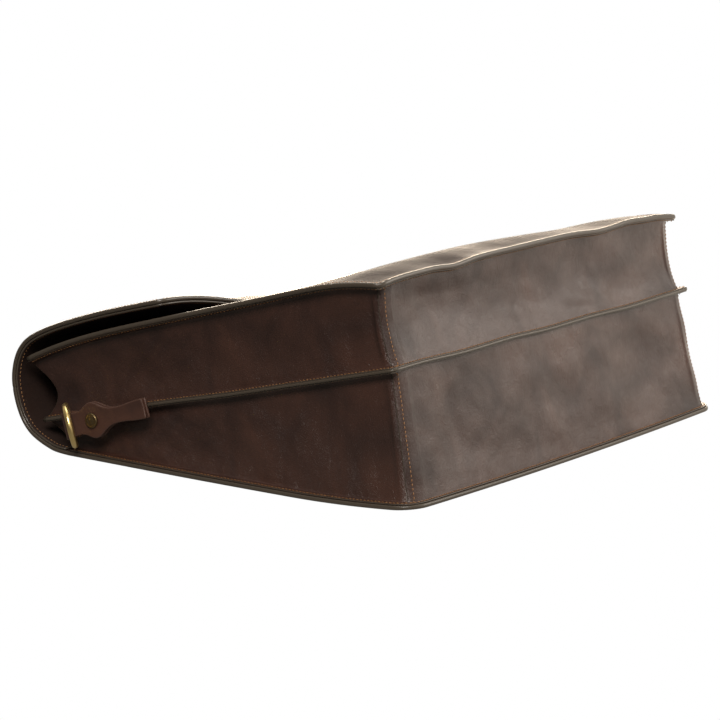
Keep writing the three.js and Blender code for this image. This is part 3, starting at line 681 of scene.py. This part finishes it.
# ---- Back panel, spine and flap: one hide that runs round the mouth ----
FLAP_KNOTS = np.array([(152, 0), (169, 2.3), (190, 12.5), (202, 30), (206.5, 55), (198, 78), (175, 93.2),
                       (125, 110.7), (63, 127.4)], float)  # y, z of the outer line in the plane of a side edge


def flap_line(u):
    """Point on the flap's outer line. u runs from 0 at the fold to 1 at the hem."""
    p = np.asarray(u, float) * (len(FLAP_KNOTS) - 1)
    i = np.clip(np.floor(p).astype(int), 0, len(FLAP_KNOTS) - 1)
    t = (p - i)[..., None]
    last = len(FLAP_KNOTS) - 1
    k = [FLAP_KNOTS[np.clip(i + d, 0, last)] for d in (-1, 0, 1, 2)]
    v0, v1 = (k[2] - k[0]) / 2, (k[3] - k[1]) / 2
    return (2 * k[1] - 2 * k[2] + v0 + v1) * t**3 + (3 * k[2] - 3 * k[1] - 2 * v0 - v1) * t**2 + v0 * t + k[1]


def flap_surface(u, x, depth):
    """The flap at a depth below its outer face."""
    u, x = np.broadcast_arrays(np.asarray(u, float), np.asarray(x, float))
    p = flap_line(u)
    tangent = unit(flap_line(np.minimum(u + 1e-3, 1)) - flap_line(np.maximum(u - 1e-3, 0)))
    side = x / HALF_WIDTH
    hem = 10 * (1 - side**2) * smooth((u - 0.8) / 0.2)
    y = p[..., 0] - hem
    rest = front_z(x, y) + REST_CLEAR + FLAP_STACK / math.cos(math.atan(0.3))
    settled = smooth((u - SPINE_END) / 0.22) * smooth((x + HALF_WIDTH) / 120)
    line_z = p[..., 1] - 9 * smooth((x + 10) / 175) * smooth((u - 0.47) / 0.15)
    z = np.where(u > SPINE_END, lerp(line_z, rest, settled), line_z)
    return np.stack([x, y - tangent[..., 1] * depth, z + tangent[..., 0] * depth], -1)


def flap_half(u):
    return lerp(BACK_HALF_MOUTH, FLAP_HALF_HEM, np.asarray(u, float))


HALVES = 0.45  # curve parameter where the back hide's mesh hands over to the flap's
HEM_CORNER = 9.0  # radius at the flap's two corners


def flap_rows(u, depth, inset, cols):
    """Rows across the flap. The hem's corners are rounded."""
    u = np.asarray(u, float)
    to_hem = (1 - u) * 420.0  # about millimetres from the hem
    short = clamp(HEM_CORNER - to_hem, 0, HEM_CORNER)
    trim = HEM_CORNER - np.sqrt(np.maximum(HEM_CORNER**2 - short**2, 0))
    half = flap_half(u) - inset - trim
    return flap_surface(u[:, None], half[:, None] * np.linspace(-1, 1, cols)[None, :], depth)


def open_sheet(name, grid, thickness, face, edge, back, open_first, open_last, v_start=0.0):
    """A sheet whose first or last row has no edge, because another mesh carries on there."""
    points, faces, kinds, uv = sheet_parts(grid, thickness)
    rows, cols = grid.shape[:2]
    loop = border(rows, cols)
    m = len(loop)
    row_of = loop // cols
    both = lambda r: (row_of == r) & (np.roll(row_of, -1) == r)
    skip = (both(0) & open_first) | (both(rows - 1) & open_last)
    flat = 2 * (rows - 1) * (cols - 1)
    keep = np.concatenate([np.ones(flat, bool), np.tile(~skip, len(faces[flat:]) // m)])
    uv = uv + np.array([0.0, v_start])
    return make_object(name, points, faces[keep], [face, edge, back], kinds[keep], uv)


hide_mid = FLAP_HIDE / 2
y = np.concatenate([BACK["corner"] * (1 - np.cos(np.linspace(0, np.pi / 2, 12))) + BASE_BACK_Y + 0.8,
                    np.linspace(BASE_BACK_Y + 0.8 + BACK["corner"], FOLD_Y - 3, 76)[1:]])
trim = np.concatenate([BACK["corner"] * (1 - np.sin(np.linspace(0, np.pi / 2, 12))), np.zeros(75)])
x = (back_half(y) - trim - 0.8)[:, None] * np.linspace(-1, 1, 100)[None, :]
y = np.broadcast_to(y[:, None], x.shape)
back_rows = np.stack([x, y, back_skin_z(x, y) + hide_mid], 2)
spine_u = np.linspace(0.0, HALVES, 46)
spine_rows = flap_rows(spine_u, hide_mid, 0.8, 100)
back_hide = np.concatenate([back_rows, spine_rows])
skin = open_sheet("back_and_spine_hide", back_hide, FLAP_HIDE, HIDE_FACE, EDGE, LINING_FACE, False, True)
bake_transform(skin)
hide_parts("back_panel", "flap_spine")
back_length = float(np.linalg.norm(np.diff(back_hide, axis=0), axis=2).mean(1).sum()) * MM

flap_u = np.concatenate([np.linspace(HALVES, 0.975, 88), np.linspace(0.975, 0.9985, 10)[1:]])
flap_hide = flap_rows(flap_u, hide_mid, 0.8, 100)


def cut_window(obj, grow):
    """Cuts the turn lock's oval window through a flap mesh."""
    bpy.ops.mesh.primitive_cylinder_add(vertices=64, radius=1, depth=0.06)
    tool = bpy.context.object
    tool.scale = ((WINDOW_LONG + grow) * MM, (WINDOW_SHORT + grow) * MM, 1)
    tool.rotation_euler = (LOCK_SLOPE, 0, 0)
    tool.location = Vector((0, LOCK_Y, float(front_z(0, LOCK_Y)))) * MM  # on the lock's own axis
    cut = obj.modifiers.new("window", "BOOLEAN")
    cut.operation, cut.object, cut.solver = "DIFFERENCE", tool, "EXACT"
    bpy.context.view_layer.update()
    solid = bpy.data.meshes.new_from_object(obj.evaluated_get(bpy.context.evaluated_depsgraph_get()))
    obj.modifiers.clear()
    obj.data = solid
    bpy.data.objects.remove(tool)


LOCK_Y = 80.0
LOCK_SLOPE = math.atan2(float(front_z(0, LOCK_Y + 10) - front_z(0, LOCK_Y - 10)), 20)
WINDOW_LONG, WINDOW_SHORT = 13.5, 6.5

outer = sheet("flap_hide", flap_hide, FLAP_HIDE, HIDE_FACE, EDGE, LINING_FACE)
cut_window(outer, 0)
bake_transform(outer)
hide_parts("flap_front")

lining_mid = FLAP_HIDE + GAP + LINING / 2
inner_spine = flap_rows(np.linspace(0.03, HALVES, 44), lining_mid, 1.0, 100)
inner_places = np.concatenate([np.linspace(HALVES, 0.975, 88), np.linspace(0.975, 0.9975, 10)[1:]])
inner_flap = flap_rows(inner_places, lining_mid, 1.0, 100)
lining = open_sheet("spine_lining", inner_spine, LINING, LINING_FACE, EDGE, LINING_FACE, False, True)
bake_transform(lining)
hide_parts("flap_spine_lining")
lining = sheet("flap_lining", inner_flap, LINING, LINING_FACE, EDGE, LINING_FACE)
cut_window(lining, 0)
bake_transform(lining)
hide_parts("flap_front_lining")


def flap_seam(u_from, u_to, depth, sign):
    """Stitches along both side edges of the flap between two curve parameters, and round the hem if u_to is 1."""
    u = np.linspace(u_from, min(u_to, 0.985), 160)
    rows = []
    for k in (-1, 1):
        x = k * (flap_half(u) - STITCH_INSET)
        rows.append((u, x))
    if u_to >= 1:
        x = np.linspace(-1, 1, 200) * (float(flap_half(0.985)) - STITCH_INSET - 3)
        rows.append((np.full(200, 0.9885), x))
    made = []
    for u, x in rows:
        p = flap_surface(u, x, depth)
        du = flap_surface(np.minimum(u + 2e-3, 1), x, depth) - flap_surface(u - 2e-3, x, depth)
        dx = flap_surface(u, x + 0.5, depth) - flap_surface(u, x - 0.5, depth)
        made.append((p, unit(np.cross(dx, du)) * sign))
    return made


outside, inside = 0.0, FLAP_STACK - 0.3
probe = flap_seam(0.2, 0.3, 0.0, 1.0)[0]
out_sign = 1.0 if probe[1][0][1] > 0 else -1.0  # the spine's outer face looks along +Y
spine_seams = flap_seam(0.0, HALVES, outside, out_sign) + flap_seam(0.03, HALVES, inside, -out_sign)
stitched = stitches("spine_stitches", spine_seams, THREAD_COLOUR)
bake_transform(stitched)
flap_seams = flap_seam(HALVES, 1, outside, out_sign) + flap_seam(HALVES, 1, inside, -out_sign)
stitched = stitches("flap_stitches", flap_seams, THREAD_COLOUR)
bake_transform(stitched)

publish(stitches("bag_stitches", seam_rows, THREAD_COLOUR), "bag")

# ---- Ring tabs, rivets and D-rings ----
TAB_FOLD = np.array([-205.6, 144.8, 24.5])  # middle of the D-ring's bar
TAB_LENGTH, TAB_RIVET_AT, STRAP, WIRE = 75.5, 24.5, 2.0, 2.4
TAB_SLOPE = math.atan2(22.4, -72.2)
RUN = np.array([0.0, math.cos(TAB_SLOPE), math.sin(TAB_SLOPE)])  # from the fold to the sewn end
ACROSS = np.array([0.0, math.sin(TAB_SLOPE), -math.cos(TAB_SLOPE)])
FLIP = np.array([-1.0, 1.0, 1.0])


def tab_half_width(s):
    lobe = 7.6 * np.exp(-(((s - TAB_RIVET_AT - 1) / 11) ** 2))
    return np.minimum(5.7 + lobe + 1.6 * smooth((s - 50) / 22) + 4.2 * (1 - smooth(s / 18)), 13.3)


def tab_grid():
    fold = WIRE + 0.6 + STRAP / 2
    s = np.linspace(TAB_LENGTH, 2, 60)
    out = lerp(fold, 1.6, smooth((s - 3) / 18))
    a = np.linspace(-np.pi / 2, np.pi / 2, 17)
    path_s = np.concatenate([s, -fold * np.cos(a), s[::-1]])
    path_out = np.concatenate([out, -fold * np.sin(a), -out[::-1]])
    half = tab_half_width(np.maximum(path_s, 0)) - 0.5
    k = np.linspace(-1, 1, 15)
    cup = 0.5 * (k**2)[None, :] * np.sign(path_out)[:, None] * smooth(path_s / 20)[:, None]
    grid = TAB_FOLD + path_s[:, None, None] * RUN + half[:, None, None] * k[None, :, None] * ACROSS
    grid[..., 0] -= path_out[:, None] + cup
    return grid


RING_OUT = np.array([-0.755, -0.616, 0.2])
RING_OUT = unit(RING_OUT - ACROSS * (RING_OUT @ ACROSS))
RING_HALF, RING_DEPTH = 15.0, 20.0


def ring_path():
    w = np.linspace(-RING_HALF + 2.5, RING_HALF - 2.5, 10)
    a = np.linspace(-0.32, math.pi + 0.32, 48)
    bulge, depth = RING_HALF * np.cos(a), 5 + (RING_DEPTH - 5) * np.maximum(np.sin(a), -0.333)
    w, d = np.concatenate([w, bulge]), np.concatenate([0 * w, depth])
    return TAB_FOLD + w[:, None] * ACROSS + d[:, None] * RING_OUT


CAP = [(0, 2.6), (1.5, 2.5), (2.6, 2.1), (3.4, 1.75), (4.1, 1.85), (4.7, 2.0),
       (5.2, 1.8), (5.6, 1.2), (5.65, 0.4), (5.5, 0), (0, 0)]  # radius, height
for side, flip in (("left", np.ones(3)), ("right", FLIP)):
    grid = tab_grid() * flip
    tab = sheet(f"ring_tab_{side}_strap", grid, STRAP, STRAP_FACE, STRAP_EDGE)
    publish(tab, "bag", [f"ring_tab_{side}"])
    path = ring_path() * flip
    ring = tube(f"d_ring_{side}_wire", path, WIRE, BRASS, True, 24)
    publish(ring, f"ring_{side}", [f"d_ring_{side}"])
    middle = (TAB_FOLD + RUN * TAB_RIVET_AT) * flip
    outwards = np.array([-1.0, 0, 0]) * flip
    face = 1.6 + STRAP / 2 + 0.15
    cap = turned(f"tab_rivet_{side}_cap", CAP, middle + outwards * face, outwards, OLD_BRASS)
    publish(cap, "bag", [f"tab_rivet_{side}"])
    shaft_ends = [middle - outwards * (face + 0.9), middle + outwards * (face + 0.2)]
    shaft = tube(f"tab_rivet_{side}_shaft", shaft_ends, 1.9, OLD_BRASS)
    publish(shaft, "bag")

# ---- Metal and hidden parts keep their CAD shapes ----
FINISH = {"brass": BRASS, "old_brass": OLD_BRASS, "steel": STEEL, "strap_hide": STRAP_FACE}
slots = {row["node"]: row["material_slot"] for row in frame["record"]["subparts"]}
for node, obj in frame["nodes"].items():
    if slots[node] in FINISH:
        obj.data.materials.clear()
        obj.data.materials.append(FINISH[slots[node]])

# ---- Camera: the photograph's ----
camera = bpy.data.objects.new("camera", bpy.data.cameras.new("camera"))
bpy.context.scene.collection.objects.link(camera)
camera.location = (-1.94860, -1.38659, 0.53932)
camera.rotation_mode = "QUATERNION"
camera.rotation_quaternion = Vector((0.79299, 0.57633, -0.19753)).to_track_quat("-Z", "Y")
camera.data.lens, camera.data.sensor_width = 160, 36
camera.data.clip_start, camera.data.clip_end = 0.1, 50
bpy.context.scene.camera = camera

# ---- Floor and light: bright towards the bag's base and right, dark beyond its left side ----
BRIGHT_WAY = (1.0, -0.35, 0.0)
WARM = (1.0, 0.91, 0.79, 1)


def shade(tree, place, low, high, from_low, from_high):
    """A strength that rises along BRIGHT_WAY."""
    dot = tree.nodes.new("ShaderNodeVectorMath")
    dot.operation = "DOT_PRODUCT"
    dot.inputs[1].default_value = BRIGHT_WAY
    tree.links.new(place, dot.inputs[0])
    spread = tree.nodes.new("ShaderNodeMapRange")
    for key, value in (("From Min", from_low), ("From Max", from_high), ("To Min", low), ("To Max", high)):
        spread.inputs[key].default_value = value
    tree.links.new(dot.outputs["Value"], spread.inputs["Value"])
    return spread.outputs["Result"]


bpy.ops.mesh.primitive_plane_add(size=24, location=(0, 0, -0.0005))
floor = bpy.context.object
floor.name = "floor"
s = Shader("pale_floor")
emit = s.add("ShaderNodeEmission")
s.set(emit, Color=(1, 1, 1, 1), Strength=1.0)
bounce = s.add("ShaderNodeEmission")
s.set(bounce, Color=WARM)
place = s.add("ShaderNodeNewGeometry").outputs["Position"]
s.link(shade(s.tree, place, 0.12, 1.3, -0.35, 0.75), bounce.inputs["Strength"])
chooser = s.add("ShaderNodeMixShader")
s.link(s.add("ShaderNodeLightPath").outputs["Is Camera Ray"], chooser.inputs["Fac"])
s.link(bounce.outputs["Emission"], chooser.inputs[1])
s.link(emit.outputs["Emission"], chooser.inputs[2])
s.link(chooser.outputs["Shader"], s.tree.nodes["Material Output"].inputs["Surface"])
floor.data.materials.append(s.material)

world = bpy.data.worlds.new("studio")
bpy.context.scene.world = world
world.use_nodes = True
nodes, links = world.node_tree.nodes, world.node_tree.links
sky = nodes["Background"]
sky.inputs["Color"].default_value = WARM
links.new(shade(world.node_tree, nodes.new("ShaderNodeTexCoord").outputs["Generated"], 0.12, 0.95, -0.8, 0.75),
          sky.inputs["Strength"])
white = nodes.new("ShaderNodeBackground")
white.inputs["Color"].default_value = (1, 1, 1, 1)
white.inputs["Strength"].default_value = 1.0
mixer = nodes.new("ShaderNodeMixShader")
links.new(nodes.new("ShaderNodeLightPath").outputs["Is Camera Ray"], mixer.inputs["Fac"])
links.new(sky.outputs["Background"], mixer.inputs[1])
links.new(white.outputs["Background"], mixer.inputs[2])
links.new(mixer.outputs["Shader"], nodes["World Output"].inputs["Surface"])


def softbox(name, place, size, watts, colour=(1, 1, 1), target=(0, 0, 0.06)):
    lamp = bpy.data.lights.new(name, "AREA")
    lamp.shape, lamp.size, lamp.size_y, lamp.energy, lamp.color = "RECTANGLE", *size, watts, colour
    obj = bpy.data.objects.new(name, lamp)
    bpy.context.scene.collection.objects.link(obj)
    obj.location = place
    obj.rotation_mode = "QUATERNION"
    obj.rotation_quaternion = (Vector(target) - Vector(place)).to_track_quat("-Z", "Y")
    obj.visible_camera = False
    return obj


softbox("key_over_base", (1.3, -1.5, 1.0), (1.4, 1.0), 16, (1, 0.95, 0.88))
softbox("overhead", (0.3, 0.5, 1.9), (1.4, 1.4), 16, (1, 0.96, 0.9))
softbox("near_side", (-1.7, -0.9, 1.5), (0.9, 0.7), 38, (1, 0.93, 0.86))
softbox("beyond_the_far_corner", (2.0, 1.7, 0.55), (2.0, 0.8), 75, (1, 0.84, 0.66))

bpy.context.scene.view_settings.view_transform = "Standard"
